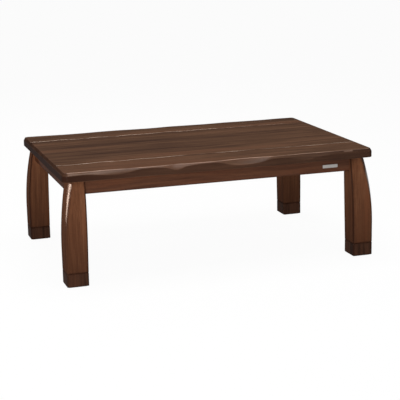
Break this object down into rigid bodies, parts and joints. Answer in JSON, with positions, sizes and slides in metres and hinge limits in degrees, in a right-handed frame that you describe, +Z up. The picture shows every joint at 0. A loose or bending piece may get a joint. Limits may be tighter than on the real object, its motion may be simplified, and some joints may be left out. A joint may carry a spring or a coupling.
{
  "type": "kotatsu table",
  "caption": "Low heated floor table: carved walnut board that lifts off a joined underframe with bowed legs, plug-in extension feet and a fan heater hung beneath.",
  "frame": {"origin": "middle of the footprint, on the floor", "axes": "+X along the table to the right of someone facing its front, +Y from front to rear, +Z up"},
  "size_m": [1.2, 0.8, 0.42],
  "materials": {
    "walnut_board": "dark walnut veneer and solid edge planks under a satin clear coat",
    "walnut_frame": "walnut-stained timber, satin clear coat",
    "walnut_foot": "walnut-stained block, satin clear coat",
    "rail_timber": "planed timber, thin brown stain",
    "pale_timber": "turned or planed beech, bare",
    "channel_steel": "black stove-painted rolled steel",
    "zinc_steel": "zinc-plated steel",
    "felt": "dense brown felt",
    "pad_rubber": "soft black rubber",
    "nylon": "natural nylon",
    "housing_steel": "dark heat-resistant paint on pressed steel",
    "mica": "pressed mica sheet",
    "reflector_aluminium": "bright anodised sheet",
    "quartz_glass": "clear quartz",
    "heating_wire": "oxidised resistance wire",
    "white_ceramic": "unglazed white ceramic",
    "motor_steel": "lacquered steel can",
    "shaft_steel": "ground steel",
    "fan_plastic": "heat-resistant moulded plastic",
    "thermostat_metal": "pressed aluminium cap",
    "black_plastic": "phenolic moulding",
    "pin_brass": "bare brass",
    "guard_plastic": "flocked dark moulding"
  },
  "bodies": {
    "underframe": {"apron_front": "walnut_frame", "apron_left": "walnut_frame", "apron_rear": "walnut_frame", "apron_right": "walnut_frame", "board_pads": "pad_rubber", "bracket_screws": "zinc_steel", "cord_inlet": "black_plastic", "corner_brackets": "zinc_steel", "fan_motor": "motor_steel", "guard_grille": "guard_plastic", "guard_screws": "zinc_steel", "heater_flange_screws": "zinc_steel", "heater_housing": "housing_steel", "heater_insulation": "mica", "heater_rail_front": "rail_timber", "heater_rail_left": "rail_timber", "heater_rail_rear": "rail_timber", "heater_rail_right": "rail_timber", "heater_reflector": "reflector_aluminium", "heater_tubes": "quartz_glass", "heating_coils": "heating_wire", "inlet_pins": "pin_brass", "leg_bolt_nuts": "zinc_steel", "leg_bolt_washers": "zinc_steel", "leg_bolts": "zinc_steel", "leg_bushes": "nylon", "leg_front_left": "walnut_frame", "leg_front_right": "walnut_frame", "leg_rear_left": "walnut_frame", "leg_rear_right": "walnut_frame", "motor_strap": "zinc_steel", "rail_dowels": "pale_timber", "support_rail_left": "rail_timber", "support_rail_right": "rail_timber", "terminal_block": "black_plastic", "thermal_fuse": "white_ceramic", "thermostat": "thermostat_metal", "tube_holders": "white_ceramic"},
    "tabletop": {"board_centre_panel": "walnut_board", "board_front_plank": "walnut_board", "board_front_tongue": "pale_timber", "board_rear_plank": "walnut_board", "board_rear_tongue": "pale_timber", "warp_channel_left": "channel_steel", "warp_channel_right": "channel_steel", "warp_channel_screws": "zinc_steel"},
    "heater_fan": {"fan_shaft": "shaft_steel", "fan_wheel": "fan_plastic"},
    "foot_rear_right": {"foot_block_rear_right": "walnut_foot", "foot_glide_rear_right": "felt", "foot_peg_rear_right": "pale_timber"},
    "foot_rear_left": {"foot_block_rear_left": "walnut_foot", "foot_glide_rear_left": "felt", "foot_peg_rear_left": "pale_timber"},
    "foot_front_left": {"foot_block_front_left": "walnut_foot", "foot_glide_front_left": "felt", "foot_peg_front_left": "pale_timber"},
    "foot_front_right": {"foot_block_front_right": "walnut_foot", "foot_glide_front_right": "felt", "foot_peg_front_right": "pale_timber"}
  },
  "joints": [
    {"name": "tabletop_lift", "type": "slide", "parent": "underframe", "child": "tabletop", "axis": [0, 0, 1], "range_m": [0, 0.2]},
    {"name": "fan_spin", "type": "hinge", "parent": "underframe", "child": "heater_fan", "pos_m": [0, 0, 0.337], "axis": [0, 0, 1], "continuous": true},
    {"name": "foot_unplug_rear_right", "type": "slide", "parent": "underframe", "child": "foot_rear_right", "axis": [0, 0, -1], "range_m": [0, 0.045]},
    {"name": "foot_unplug_rear_left", "type": "slide", "parent": "underframe", "child": "foot_rear_left", "axis": [0, 0, -1], "range_m": [0, 0.045]},
    {"name": "foot_unplug_front_left", "type": "slide", "parent": "underframe", "child": "foot_front_left", "axis": [0, 0, -1], "range_m": [0, 0.045]},
    {"name": "foot_unplug_front_right", "type": "slide", "parent": "underframe", "child": "foot_front_right", "axis": [0, 0, -1], "range_m": [0, 0.045]}
  ]
}
